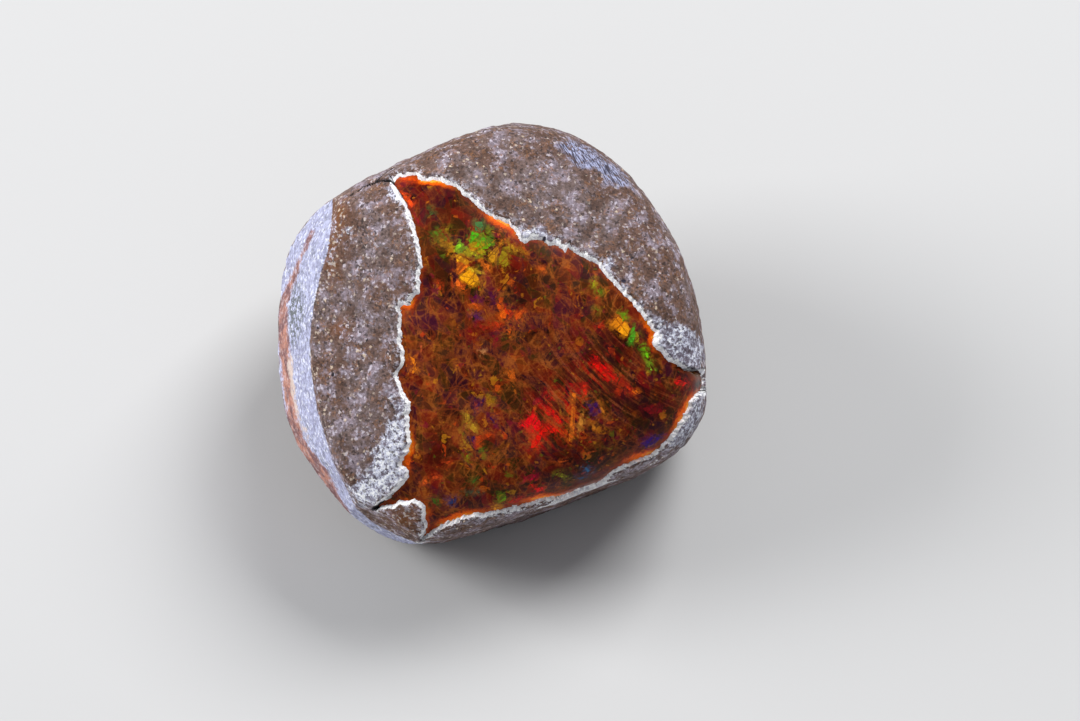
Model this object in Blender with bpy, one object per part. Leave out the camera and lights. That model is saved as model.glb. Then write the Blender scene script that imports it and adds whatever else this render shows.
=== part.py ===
# Rough opal nodule, about 36 mm across: one natural stone. A thin dull rind covers it,
# one side was ground to a row of narrow flats, and over one face the rind has come away
# and leaves a three-cornered window, sunk a little, where the opal shows.
# The stone lies on its flat back, so the window looks up and a little to the front.
#
# The form is worked out in the stone's own frame, about a point inside it:
# x to the right across the window face, y up across it, z straight out of it.

import bmesh
import bpy
import numpy as np
from math import cos, radians, sin
from mathutils import Matrix, Vector

MM = 0.001

# The body is an ellipsoid, worn down by broad rounded facets.
BODY_RADII = (20.8 * MM, 20.8 * MM, 13.4 * MM)
ROUNDING = 18.0
SPHERE_SUBDIVISIONS = 5

# Each facet: bearing round the face from x towards y, rise towards z, distance out.
WORN_FACETS = {
    "right": (10, 0, 17.25 * MM),
    "upper_right": (34, 0, 17.2 * MM),
    "top_right": (58, 5, 18.0 * MM),
    "top": (86, 0, 18.2 * MM),
    "top_left": (115, 0, 16.4 * MM),
    "upper_left": (146, 0, 18.8 * MM),
    "left": (181, -8, 18.5 * MM),
    "lower_left": (220, -5, 19.2 * MM),
    "bottom_corner": (262, -5, 18.7 * MM),
    "bottom": (290, 3, 15.1 * MM),
    "lower_right": (318, 0, 18.5 * MM),
    "right_low": (352, 0, 19.2 * MM),
    "window_face": (300, 83, 11.7 * MM),
    "left_shoulder": (180, 58, 13.8 * MM),
    "right_shoulder": (57, 61, 14.0 * MM),
    "low_shoulder": (298, 42, 16.2 * MM),
}

# Flats ground on the left side, from the top corner down to the foot.
GROUND_FLATS = {
    "top_flat": (155, 16, 17.45 * MM),
    "high_flat": (173, 16.5, 16.64 * MM),
    "upper_side_flat": (181, 18, 16.52 * MM),
    "side_flat": (187.5, 17.5, 16.61 * MM),
    "lower_side_flat": (199, 16, 17.24 * MM),
    "low_flat": (213.5, 12, 18.0 * MM),
    "foot_flat": (240, 12, 18.57 * MM),
}

# The back is flat too. The stone rests on it, so its face leans forward by this many degrees.
FACE_LEAN = 28
BACK_FLAT = (270, FACE_LEAN - 90, 12.0 * MM)

# The window: how deep the opal lies under the rind's skin, and the rind's broken edge.
WINDOW_DEPTH = 0.45 * MM
WINDOW_FROM = 1.5 * MM
WINDOW_TO = 16.0 * MM
UPPER_EDGE = (
    (-8.4, 12.8), (-6.5, 13.2), (-5.0, 12.7), (-3.9, 12.5), (-2.4, 11.5), (-0.9, 10.2),
    (0.4, 9.5), (1.5, 8.8), (2.1, 7.8), (3.1, 7.9), (4.7, 7.3), (5.8, 6.8), (6.6, 6.8),
    (8.6, 5.8), (9.8, 4.3), (11.9, 2.0), (13.3, 0.2), (13.1, -0.5), (13.9, -1.6),
    (15.6, -2.8), (16.8, -3.5), (17.9, -3.6),
)
LOWER_EDGE = (
    (17.8, -4.1), (16.7, -4.8), (15.9, -6.2), (14.8, -8.1), (13.3, -9.6), (11.6, -10.4),
    (9.8, -11.2), (7.9, -12.5), (6.3, -13.1), (3.8, -13.6), (0.4, -14.5), (-2.5, -15.0),
    (-5.2, -16.2), (-5.9, -16.7),
)
PATCH_EDGE = (
    (-5.6, -16.0), (-5.8, -15.2), (-5.7, -14.2), (-6.7, -13.7), (-7.9, -13.8), (-9.6, -14.2),
)
LEFT_EDGE = (
    (-8.7, -13.6), (-7.7, -12.6), (-7.1, -11.5), (-7.7, -10.7), (-7.0, -9.1), (-7.1, -6.7),
    (-7.3, -5.2), (-8.1, -3.4), (-7.4, -2.1), (-7.5, -1.6), (-7.8, 0.0), (-7.7, 1.6),
    (-7.8, 2.5), (-7.0, 2.4), (-7.0, 2.9), (-6.2, 3.5), (-6.1, 6.7), (-6.6, 8.9),
    (-7.3, 10.8), (-8.1, 12.3),
)

RIND_COLOUR = (0.2, 0.145, 0.135, 1.0)
RIND_ROUGHNESS = 0.85


def outward(bearing, rise):
    """Unit vector that lies at a bearing round the face and rises towards z, in degrees."""
    level = cos(radians(rise))
    return Vector((cos(radians(bearing)) * level, sin(radians(bearing)) * level, sin(radians(rise))))


def body_radius(directions):
    """Distance from the middle to the skin along each unit direction.

    One over the ROUNDING-norm of the ellipsoid's term and of each facet's term, which is
    the direction's share along the facet's normal over the facet's distance.
    """
    total = np.linalg.norm(directions / BODY_RADII, axis=1) ** ROUNDING
    for bearing, rise, distance in WORN_FACETS.values():
        share = directions @ np.array(outward(bearing, rise)) / distance
        total += np.maximum(share, 0.0) ** ROUNDING
    return total ** (-1.0 / ROUNDING)


def worn_body(name, sunk=0.0):
    """A sphere whose vertices move straight out to the skin, less the depth sunk."""
    mesh = bpy.data.meshes.new(name)
    form = bmesh.new()
    bmesh.ops.create_icosphere(form, subdivisions=SPHERE_SUBDIVISIONS, radius=1.0)
    directions = np.array([vertex.co.normalized() for vertex in form.verts])
    places = directions * (body_radius(directions) - sunk)[:, None]
    for vertex, place in zip(form.verts, places):
        vertex.co = place
    form.to_mesh(mesh)
    form.free()
    return mesh


def grind_flat(mesh, bearing, rise, distance):
    """Cut a mesh off flat, across a plane square to the given direction."""
    normal = outward(bearing, rise)
    form = bmesh.new()
    form.from_mesh(mesh)
    everything = form.verts[:] + form.edges[:] + form.faces[:]
    cut = bmesh.ops.bisect_plane(
        form,
        geom=everything,
        dist=1e-7,
        plane_co=normal * distance,
        plane_no=normal,
        clear_outer=True,
    )
    rim = [item for item in cut["geom_cut"] if isinstance(item, bmesh.types.BMEdge)]
    bmesh.ops.contextual_create(form, geom=rim)
    bmesh.ops.recalc_face_normals(form, faces=form.faces)
    form.to_mesh(mesh)
    form.free()


def add_object(name, data, collection):
    made = bpy.data.objects.new(name, data)
    collection.objects.link(made)
    return made


def add_boolean(target, cutter, label):
    """Take the cutter out of the target."""
    cut = target.modifiers.new(label, "BOOLEAN")
    cut.operation = "DIFFERENCE"
    cut.solver = "EXACT"
    cut.object = cutter


def window_prism(collection):
    """The rind's broken edge as a flat outline, drawn out along z through the face."""
    outline = bpy.data.curves.new("window_outline", "CURVE")
    outline.dimensions = "2D"
    outline.fill_mode = "BOTH"
    outline.extrude = (WINDOW_TO - WINDOW_FROM) / 2
    points = UPPER_EDGE + LOWER_EDGE + PATCH_EDGE + LEFT_EDGE
    edge = outline.splines.new("POLY")
    edge.points.add(len(points) - 1)
    for point, (x, y) in zip(edge.points, points):
        point.co = (x * MM, y * MM, 0.0, 1.0)
    edge.use_cyclic_u = True
    drawn = add_object("window_outline", outline, collection)
    solid = bpy.data.meshes.new_from_object(drawn)
    bpy.data.objects.remove(drawn)
    solid.transform(Matrix.Translation((0, 0, (WINDOW_TO + WINDOW_FROM) / 2)))
    form = bmesh.new()
    form.from_mesh(solid)
    bmesh.ops.remove_doubles(form, verts=form.verts, dist=1e-6)
    bmesh.ops.recalc_face_normals(form, faces=form.faces)
    form.to_mesh(solid)
    form.free()
    return add_object("window_cutter", solid, collection)


def rind_material():
    material = bpy.data.materials.new("rind")
    material.use_nodes = True
    surface = material.node_tree.nodes["Principled BSDF"]
    surface.inputs["Base Color"].default_value = RIND_COLOUR
    surface.inputs["Roughness"].default_value = RIND_ROUGHNESS
    surface.inputs["Metallic"].default_value = 0.0
    return material


for old in list(bpy.data.objects):
    bpy.data.objects.remove(old)

specimen = bpy.data.collections.new("rough opal")
cutters = bpy.data.collections.new("cutters")
cutters.hide_render = True
for collection in (specimen, cutters):
    bpy.context.scene.collection.children.link(collection)

# The whole stone, with its ground side and its flat back.
skin = worn_body("rough_opal")
for flat in (*GROUND_FLATS.values(), BACK_FLAT):
    grind_flat(skin, *flat)
skin.materials.append(rind_material())
stone = add_object("rough_opal", skin, specimen)

# The window goes down to the opal: the prism, less what the opal fills.
opal_body = add_object("opal_body", worn_body("opal_body", WINDOW_DEPTH), cutters)
window = window_prism(cutters)
add_boolean(window, opal_body, "down to the opal")
add_boolean(stone, window, "window")
for cutter in (opal_body, window):
    cutter.parent = stone
    cutter.hide_render = True
    cutter.display_type = "WIRE"

# Laid on its back, with the middle of its outline over the origin.
lean = Matrix.Rotation(radians(FACE_LEAN), 4, "X")
corners = np.array([lean @ vertex.co for vertex in skin.vertices])
middle = (corners.min(axis=0) + corners.max(axis=0)) / 2
stone.rotation_euler = (radians(FACE_LEAN), 0.0, 0.0)
stone.location = (-middle[0], -middle[1], BACK_FLAT[2])
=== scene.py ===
import bpy
import numpy as np
from math import radians
from mathutils import Matrix, Vector


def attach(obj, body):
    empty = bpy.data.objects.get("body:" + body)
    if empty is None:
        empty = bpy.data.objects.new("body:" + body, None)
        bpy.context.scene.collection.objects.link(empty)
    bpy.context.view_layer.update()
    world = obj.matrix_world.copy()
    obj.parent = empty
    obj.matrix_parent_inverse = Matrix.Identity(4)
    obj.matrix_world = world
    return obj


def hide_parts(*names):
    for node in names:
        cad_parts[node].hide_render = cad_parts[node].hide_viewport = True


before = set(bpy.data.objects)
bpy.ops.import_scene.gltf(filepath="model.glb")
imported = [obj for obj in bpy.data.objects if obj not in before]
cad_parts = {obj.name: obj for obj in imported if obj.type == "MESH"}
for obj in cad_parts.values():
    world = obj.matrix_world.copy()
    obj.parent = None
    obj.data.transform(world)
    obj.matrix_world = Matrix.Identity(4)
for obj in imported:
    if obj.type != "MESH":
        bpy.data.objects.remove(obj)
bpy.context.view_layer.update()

# The stone is one natural nodule, about 36 mm across. Its outside is a thin, dull, grey-brown
# rind of clay and weathered silica with pale mineral grains in it, worn to broad faces. One
# side was ground to a row of flats, and over one face the rind was broken away.
# Sizes are in millimetres in the stone's own frame, about a point inside it: x to the right
# across the window face, y up across it, z straight out of it.
MM = 0.001
BODY_RADII = np.array([20.8, 20.8, 13.4])
ROUNDING = 18.0
WORN_FACETS = (
    (10, 0, 17.25), (34, 0, 17.2), (58, 5, 18.0), (86, 0, 18.2), (115, 0, 16.4),
    (146, 0, 18.8), (181, -8, 18.5), (220, -5, 19.2), (262, -5, 18.7), (290, 3, 15.1),
    (318, 0, 18.5), (352, 0, 19.2), (300, 83, 11.7), (180, 58, 13.8), (57, 61, 14.0),
    (298, 42, 16.2),
)
GROUND_FLATS = (
    (155, 16, 17.45), (173, 16.5, 16.64), (181, 18, 16.52), (187.5, 17.5, 16.61),
    (199, 16, 17.24), (213.5, 12, 18.0), (240, 12, 18.57),
)
FACE_LEAN = 28
BACK_FLAT = (270, FACE_LEAN - 90, 12.0)
HEART = np.array([2.5, -5.4, 0.0])
FURTHEST = 45.0
HALVINGS = 24
EDGE_PASSES = 3


def outward(bearing, rise):
    """Unit vector at a bearing round the face from x towards y, rising towards z."""
    turn, lift = radians(bearing), radians(rise)
    return np.array([np.cos(turn) * np.cos(lift), np.sin(turn) * np.cos(lift), np.sin(lift)])


def above_flat(points, flat):
    """How far each point stands past a flat's plane, in millimetres."""
    return points @ outward(*flat[:2]) - flat[2]


def fullness(points):
    """One on the skin and less inside: the ROUNDING-norm of the ellipsoid's term and of each
    worn facet's, and then the largest of that and of each ground flat's and the back's."""
    total = np.linalg.norm(points / BODY_RADII, axis=-1) ** ROUNDING
    for bearing, rise, distance in WORN_FACETS:
        share = points @ outward(bearing, rise) / distance
        total += np.maximum(share, 0.0) ** ROUNDING
    full = total ** (1.0 / ROUNDING)
    for flat in GROUND_FLATS + (BACK_FLAT,):
        full = np.maximum(full, above_flat(points, flat) / flat[2] + 1.0)
    return full


def reach_skin(start, directions):
    """Length of each ray from an inner start to the skin, found by halving a span."""
    near = np.zeros(directions.shape[:-1])
    far = np.full(directions.shape[:-1], FURTHEST)
    for _ in range(HALVINGS):
        middle = (near + far) / 2
        inside = fullness(start + middle[..., None] * directions) < 1.0
        near, far = np.where(inside, middle, near), np.where(inside, far, middle)
    return near


def smooth_step(low, high, value):
    """Nought below low, one above high, and an even curve between."""
    share = np.clip((value - low) / (high - low), 0.0, 1.0)
    return share * share * (3.0 - 2.0 * share)


def waviness(points, wavelength, seed, waves=28):
    """Even bumps, about -1 to 1: plane waves near one length, in seeded directions."""
    chance = np.random.default_rng(seed)
    directions = chance.normal(size=(waves, 3))
    directions /= np.linalg.norm(directions, axis=1, keepdims=True)
    lengths = wavelength * chance.uniform(0.75, 1.3, waves)
    phases = chance.uniform(0.0, 2.0 * np.pi, waves)
    turns = points @ (directions / lengths[:, None]).T
    return np.sin(2.0 * np.pi * turns + phases).sum(axis=-1) / np.sqrt(waves)


# Where the stone lies: leaned on its flat back, with the middle of its outline at the origin.
LEAN = np.array(Matrix.Rotation(radians(FACE_LEAN), 3, "X"))
polar, bearing = np.meshgrid(np.linspace(0, np.pi, 180), np.linspace(0, 2 * np.pi, 360))
sphere = np.stack(
    [np.sin(polar) * np.cos(bearing), np.sin(polar) * np.sin(bearing), np.cos(polar)], axis=-1
)
laid = ((sphere / fullness(sphere)[..., None]) @ LEAN.T).reshape(-1, 3)
MIDDLE = (laid.min(axis=0) + laid.max(axis=0)) / 2
LIFT = np.array([-MIDDLE[0], -MIDDLE[1], BACK_FLAT[2]])


def lay_down(points):
    """Points of the stone's own frame, in millimetres, where the stone lies, in metres."""
    return (points @ LEAN.T + LIFT) * MM


# The rind's broken edge round the window, seen square on: x and y of each corner in turn,
# clockwise from the top left tip.
BROKEN_EDGE = np.reshape((
    -8.4, 12.8, -7.9, 13.1, -6.9, 13.2, -6.5, 13.2, -6.2, 12.8, -5, 12.8, -3.9, 12.5, -3.1, 12.1,
    -2.4, 11.5, -1.7, 10.9, -0.9, 10.2, -0.4, 9.8, 0.4, 9.5, 1.1, 9.2, 1.5, 8.8, 1.8, 8.2, 2.1, 7.8,
    2.6, 7.6, 3.1, 7.9, 3.8, 7.8, 4.2, 7.6, 4.7, 7.3, 5.1, 7.6, 5.6, 7.1, 5.8, 6.8, 6.1, 7.2,
    6.6, 6.8, 7.8, 6.2, 8.6, 5.8, 9.1, 5, 9.8, 4.2, 10.6, 3.5, 11.2, 2.8, 11.9, 2, 12.5, 1.2,
    12.9, 0.6, 13.3, 0.2, 13.1, -0.5, 13.3, -1.1, 13.9, -1.6, 14.3, -2.2, 15, -2.4, 15.6, -2.8,
    16.2, -3.2, 16.7, -3.6, 17.1, -3.4, 17.5, -3.1, 18.1, -2.8, 18.1, -4.1, 17.5, -4.3, 17.1, -4.6,
    16.7, -4.9, 16.2, -5.4, 15.9, -6.2, 15.4, -7.1, 14.8, -8.1, 14.2, -8.8, 13.3, -9.6, 12.5, -10.1,
    11.6, -10.4, 10.8, -10.7, 9.8, -11.2, 8.8, -12.1, 7.9, -12.5, 6.9, -12.8, 6.2, -13.1,
    5.4, -13.4, 3.8, -13.6, 2.1, -14.1, 0.4, -14.5, -0.6, -14.7, -1.6, -14.8, -2.5, -15,
    -3.8, -15.5, -4.6, -15.8, -5.2, -16.2, -5.9, -16.7, -5.6, -16, -5.8, -15.2, -5.6, -14.8,
    -5.8, -14.2, -6.2, -13.8, -6.7, -13.7, -7.9, -13.8, -8.5, -14.1, -9.6, -14.2, -8.7, -13.5,
    -8.3, -13.1, -7.7, -12.6, -7.2, -12, -7.1, -11.5, -7.3, -11.1, -7.7, -10.8, -7.5, -10.2,
    -7.1, -9.6, -7, -9.1, -6.9, -8.8, -7.1, -7.5, -7.1, -6.7, -7, -5.8, -7.3, -5.2, -7.6, -4.6,
    -7.8, -3.8, -8.1, -3.4, -7.8, -2.9, -7.4, -2.1, -7.5, -1.6, -7.8, -0.8, -7.7, 0, -7.8, 0.8,
    -7.7, 1.6, -7.9, 2.2, -7.8, 2.5, -7, 2.4, -7, 2.9, -6.2, 3.5, -6.2, 4.6, -6.1, 5.4, -5.9, 5.6,
    -6.1, 6.7, -6.3, 7.5, -6.5, 8.3, -6.6, 8.9, -6.8, 9.4, -7, 10.1, -7.3, 10.8, -7.7, 11.5,
    -8.1, 12.2,
), (-1, 2))
OPAL_DEPTH = 0.5
UP = np.array([0.0, 0.0, 1.0])


def opal_depth(skin):
    """How deep under the skin the opal's face lies: less towards the stone's side."""
    return OPAL_DEPTH * smooth_step(-1.0, 4.0, skin[..., 2]) + 0.05


def on_skin(outline):
    """The points of the skin above x and y pairs, seen square on."""
    foot = np.concatenate([outline, np.zeros((len(outline), 1))], axis=1)
    return foot + reach_skin(foot, np.broadcast_to(UP, foot.shape))[:, None] * UP


def drawn(corners, count):
    """Evenly spaced points along the straight pieces between corners."""
    corners = np.asarray(corners, float)
    along = np.cumsum(np.linalg.norm(np.diff(corners, axis=0), axis=1))
    at = np.arange(count) / count * along[-1]
    along = np.concatenate([[0.0], along])
    return np.stack([np.interp(at, along, corners[:, axis]) for axis in (0, 1)], axis=-1)


def edge_rays(count):
    """Bearing round the heart and angle off z of the broken edge, at evenly spaced points,
    counter-clockwise, leaving out corners that turn back. The edge is where the rind's wall
    meets the opal, so the skin's points stand out from it by their share of the depth."""
    corners = BROKEN_EDGE[::-1]
    turn = np.unwrap(np.arctan2(*(corners - HEART[:2]).T[::-1]))
    onward = np.concatenate([[True], turn[1:] > np.maximum.accumulate(turn)[:-1] + 1e-4])
    outline = drawn(np.vstack([corners[onward], corners[:1]]), count)
    moved = outline
    for _ in range(EDGE_PASSES):
        skin = on_skin(moved)
        away = skin - HEART
        ray = away / np.linalg.norm(away, axis=1, keepdims=True)
        moved = outline + (opal_depth(skin)[:, None] * ray)[:, :2]
    bearing = np.unwrap(np.arctan2(away[:, 1], away[:, 0]))
    return bearing, np.arctan2(np.hypot(away[:, 0], away[:, 1]), away[:, 2])


def aim(bearing, off_axis):
    """Unit directions from the heart, from a bearing round z and an angle off z."""
    return np.stack(
        [np.sin(off_axis) * np.cos(bearing), np.sin(off_axis) * np.sin(bearing), np.cos(off_axis)],
        axis=-1,
    )


def gap_to_path(points, path):
    """Distance from each point to the nearest of a path's straight pieces: seen square on
    where the path's corners hold x and y only."""
    path = np.asarray(path)
    nearest = np.full(points.shape[:-1], np.inf)
    for start, end in zip(path[:-1], path[1:]):
        run = end - start
        away = points[..., :len(start)] - start
        share = np.clip((away @ run) / max(run @ run, 1e-9), 0.0, 1.0)
        nearest = np.minimum(nearest, np.linalg.norm(away - share[..., None] * run, axis=-1))
    return nearest


def gap_inside(points, corners):
    """Distance in from a closed outline, seen square on, and less than nought outside it. A
    point is inside where a line to its right crosses the outline an odd number of times."""
    closed = np.vstack([corners, corners[:1]])
    x, y = points[..., 0], points[..., 1]
    crossings = np.zeros(x.shape, int)
    for (x0, y0), (x1, y1) in zip(closed[:-1], closed[1:]):
        at = x0 + (y - y0) * (x1 - x0) / ((y1 - y0) or 1e-9)
        crossings += ((y0 > y) != (y1 > y)) & (x < at)
    return gap_to_path(points, closed) * np.where(crossings % 2 == 1, 1.0, -1.0)


def new_piece(name, points, faces, readings):
    """A smooth-shaded mesh from points in the stone's own frame and rows of corner numbers,
    with a number or a colour kept at every point for each named reading."""
    mesh = bpy.data.meshes.new(name)
    mesh.from_pydata(lay_down(points).tolist(), [], faces)
    for label, values in readings.items():
        kind, field = ("FLOAT_COLOR", "color") if values.ndim > 1 else ("FLOAT", "value")
        kept = mesh.attributes.new(label, kind, "POINT")
        kept.data.foreach_set(field, values.astype("f").ravel())
    mesh.polygons.foreach_set("use_smooth", np.ones(len(mesh.polygons), bool))
    made = bpy.data.objects.new(name, mesh)
    bpy.context.scene.collection.objects.link(made)
    return made


def rows_to_faces(rows, count):
    """Faces of a closed skin numbered as a first end point, rows that each run once round
    counter-clockwise, and a last end point."""
    start = 1 + np.arange(rows - 1)[:, None] * count + np.arange(count)
    after = 1 + np.arange(rows - 1)[:, None] * count + np.roll(np.arange(count), -1)
    walls = np.stack([start, start + count, after + count, after], axis=-1).reshape(-1, 4)
    first = 1 + np.arange(count)
    last = first + (rows - 1) * count
    near = np.stack([np.zeros(count, int), first, np.roll(first, -1)], axis=-1)
    far = np.stack([np.full(count, 1 + rows * count), np.roll(last, -1), last], axis=-1)
    return near.tolist() + walls.tolist() + far.tolist()


# The rind's skin: rows of points out from the middle of the window to the back, close by the
# broken edge and wider apart away from it. Under the window it drops away for the opal.
EDGE_COLUMNS = 860
HOLLOW_DEPTH = 1.7
WALL_WIDTH = 0.24
EDGE_REACH = 15.0
FINE_STEP = 0.06
COARSE_STEP = 0.42
STEP_GROWTH = 1.05
FINE_STEPS = 16
ROWS_TURN = 1.55
HOLLOW_SLOPE = 5.0
CLOSING_HEIGHTS = (3.2, 1.4)
CLOSED_BY = 0.9
ROWS_WITHIN = np.array([3.0, 1.6, 1.1, 0.8, 0.6, 0.45, 0.33, 0.22, 0.11])


def inside_of_window(skin, rays):
    """How far inside the window the skin's points lie, seen square on once they are sunk to
    the opal. The window closes to a point down the stone's side."""
    seen = gap_inside(skin - opal_depth(skin)[..., None] * rays, BROKEN_EDGE)
    return seen - CLOSED_BY * smooth_step(*CLOSING_HEIGHTS, skin[..., 2])


def row_places():
    """Distances out from the broken edge: fine steps first, then growing ones, to the back."""
    steps = [FINE_STEP] * FINE_STEPS
    while sum(steps) < ROWS_TURN * EDGE_REACH:
        steps.append(min(steps[-1] * STEP_GROWTH, COARSE_STEP))
    return np.concatenate([[0.0], np.cumsum(steps)])


bearing, edge_angle = edge_rays(EDGE_COLUMNS)
out = row_places() / EDGE_REACH
spare = np.pi - edge_angle - out[-1]
beyond = edge_angle + out[:-1, None] + spare * (out[:-1, None] / out[-1]) ** 2
within = edge_angle - ROWS_WITHIN[:, None] / EDGE_REACH * np.minimum(edge_angle / 0.6, 1.0)
rays = aim(bearing, np.concatenate([within[:1] * 0.5, within, beyond]))
skin = HEART + reach_skin(HEART, rays)[..., None] * rays

front = skin[..., 2] > 0.0
inside_window = inside_of_window(skin, rays)
behind = np.abs(inside_window) + 0.5 * np.abs(skin[..., 2])
edge_gap = np.where(front, -inside_window, behind)
edge_gap += 0.05 * waviness(skin, 0.8, 5) + 0.04 * waviness(skin, 0.4, 6)
edge_gap += 0.03 * waviness(skin, 0.25, 7)
climb = np.clip(edge_gap / WALL_WIDTH, 0.0, 1.0)
deep = opal_depth(skin)
hollow = np.minimum(deep - edge_gap * HOLLOW_SLOPE, HOLLOW_DEPTH)
sunk = np.where(edge_gap > 0, deep * (1.0 - climb) ** 2, hollow)

# Cracks run from the window's corners, and a few pits are sunk in the rind.
CRACKS = (
    ((-8.1, 12.9), (-9.2, 12.9), (-10.1, 12.7), (-11, 12.4), (-11.8, 12), (-12.5, 11.6)),
    ((-10, 12.75), (-9.5, 13.3), (-8.9, 13.7), (-8.3, 14.1)),
    ((-9.5, -14.1), (-9.9, -14.35), (-10.2, -14.6)),
)
PITS = (
    (10.8, 4.6, 0.25, 0.2), (1.9, 11.1, 0.4, 0.1), (-11.5, 1.3, 0.16, 0.18),
    (-7.3, 2.9, 0.14, 0.15), (4.1, 8.2, 0.2, 0.2), (-4.2, 15.3, 0.3, 0.1),
    (-12.4, 1, 0.18, 0.14), (-9.5, 3.1, 0.12, 0.14),
)
CRACK_POINTS = 24
paths = [on_skin(drawn(path, CRACK_POINTS)) for path in CRACKS]
crack_gap = np.min([gap_to_path(skin, path) for path in paths], axis=0)
crack_gap = crack_gap + 0.03 * waviness(skin, 0.5, 9)
PIT_FLATTENED = 1.4
pit = np.zeros(skin.shape[:-1])
for x, y, radius, depth in PITS:
    away = np.hypot(skin[..., 0] - x, (skin[..., 1] - y) * PIT_FLATTENED) / radius
    pit = np.maximum(pit, depth * np.exp(-away ** 4) * front)

# Where the rind is bruised and bleached: zones in from these outlines, the first of them the
# whitest, and patches behind.
BLEACHED = (
    ((-9.1, -6.9), (-7, -7), (-7.2, -11.5), (-8.5, -13.3), (-9.8, -14), (-11.2, -14.3),
     (-12.5, -12.7), (-11, -11.5), (-10.2, -9.4), (-9.3, -8.2)),
    ((12.9, 1.5), (14.4, 1.2), (15.2, 0.8), (16.8, 0.6), (17.3, 0), (17.6, -2.1), (16.8, -3.4),
     (14.6, -2.3), (13.2, -1), (12.7, 0.8)),
    ((1.7, 8.5), (2.1, 8.9), (4.1, 8.7), (5.3, 8), (6.3, 7.4), (6, 7), (3.8, 7.8), (2.1, 7.7)),
    ((9.7, 4.7), (10.9, 4.2), (11.1, 3.3), (10.2, 3.6)),
    ((8.9, 6.1), (9.7, 6.1), (9.7, 5.3), (8.9, 5.3)),
    ((11.6, 3), (12.3, 2.8), (12.2, 2.2), (11.7, 2.2)),
    ((15.4, -5.1), (17.9, -4.3), (17.3, -7.1), (15.6, -9.4), (14.1, -9.2), (15.8, -6.9)),
    ((-8.8, -5.2), (-7.5, -5.2), (-7.1, -6.6), (-8.3, -6.7)),
    ((-9.2, 12.3), (-8.5, 12.6), (-7.6, 11.2), (-7.9, 10.8)),
    ((-12.6, 9.1), (-11.8, 9.1), (-11.8, 8.4), (-12.6, 8.4)),
)
bleached = np.max([gap_inside(skin, np.array(outline)) for outline in BLEACHED], axis=0)
whitest = np.clip(gap_inside(skin, np.array(BLEACHED[0])) + 0.2, 0.0, 1.0) * front
patches = 1.5 * waviness(skin, 9.0, 21) - 2.4
bleached = np.clip(np.where(skin[..., 2] > 0.5, bleached, np.minimum(patches, 1.0)), -3.0, 1.0)
SCRATCHED = np.array((
    (5.1, 15.8), (5.5, 16.2), (7, 16.2), (9.1, 15), (10.3, 14), (11.3, 12.8), (11.4, 12.2),
    (10.2, 12.4), (9.3, 13.1), (8.2, 13.6), (6.8, 13.9), (5.7, 15),
))
scratched = np.where(front, gap_inside(skin, SCRATCHED), -3.0)

# Bands of colour that the ground side lays bare, as lines down it.
PEACH_BAND = (
    (-15.2, 8.6), (-15.9, 7), (-16.6, 5.3), (-17.2, 3.9), (-17.6, 2.7), (-17.7, 1.3),
    (-17.6, -0.8), (-17.4, -3.2), (-17.2, -5), (-16.8, -7.1), (-16.4, -8.8), (-15.6, -10),
    (-14.7, -11.1), (-13.9, -12.3), (-13.1, -13.6), (-12.2, -15),
)
CREAM_BAND = (
    (-17.1, -1.6), (-17, -2.9), (-16.8, -5.2), (-16.4, -6.9), (-15.8, -8.2), (-15.5, -8.9),
)
GROUND_SIDE = np.array((
    (-13.4, 12.4), (-13.5, 11.4), (-13.6, 9.3), (-13.9, 6.9), (-14.4, 5.3), (-14.8, 3.8),
    (-15.1, 2.3), (-15.3, 0.8), (-15.4, -0.7), (-15.3, -2.9), (-14.8, -6.2), (-14, -8.8),
    (-13.6, -10.2), (-13.1, -11.3), (-12.3, -12.9), (-11.6, -14.4), (-10.1, -15.7),
    (-8.1, -16.7), (-6.6, -17.3), (-4.4, -17.7), (-4.4, -22), (-25, -22), (-25, 12.4),
))
ground = np.max([above_flat(skin, flat) for flat in GROUND_FLATS], axis=0)
ground_seen = 0.3 * np.clip(gap_inside(skin, GROUND_SIDE), -2.0, 0.2) - 0.06
ground = np.where(skin[..., 2] > 1.0, ground_seen, ground)
peach_width = smooth_step(9.0, -2.0, skin[..., 1]) * smooth_step(-15.0, -11.0, skin[..., 1])
peach = gap_to_path(skin, PEACH_BAND) + 0.1 - 0.34 * peach_width
cream = gap_to_path(skin, CREAM_BAND)
BROWN_SPOTS = (
    (-13.0, 9.8, 0.8, 2.0), (-13.6, 6.6, 0.6, 2.4), (-12.8, 0.6, 0.9, 0.9), (-7.7, -15.2, 1.7, 1.0),
)
GREY_SPOTS = ((-16.6, 1.9, 0.8, 2.2),)


def zone(points, spots):
    """The largest of some soft round spots: middle x and y, half-widths, one at the middle."""
    return np.max([
        np.exp(-((points[..., 0] - x) / rx) ** 2 - ((points[..., 1] - y) / ry) ** 2)
        for x, y, rx, ry in spots
    ], axis=0)


# The relief fades out on the flats and on the window's wall.
level = np.max([above_flat(skin, flat) for flat in GROUND_FLATS + (BACK_FLAT,)], axis=0)
rough_share = smooth_step(0.0, -0.5, level) * climb
relief = 0.07 * waviness(skin, 4.0, 1) + 0.035 * waviness(skin, 1.7, 2)
relief += 0.022 * waviness(skin, 0.9, 3)
crack_depth = 0.3 * smooth_step(0.22, 0.04, crack_gap)
sunk = sunk + (0.05 - relief) * rough_share + pit + crack_depth
rows = skin - sunk[..., None] * rays
moved_on = inside_window - gap_inside(rows, BROKEN_EDGE)
seen_gap = edge_gap + np.where(skin[..., 2] > 4.0, moved_on, 0.0)
front_pole = HEART + (reach_skin(HEART, UP) - HOLLOW_DEPTH) * UP
back_pole = HEART - reach_skin(HEART, -UP) * UP
points = np.concatenate([front_pole[None], rows.reshape(-1, 3), back_pole[None]])


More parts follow.
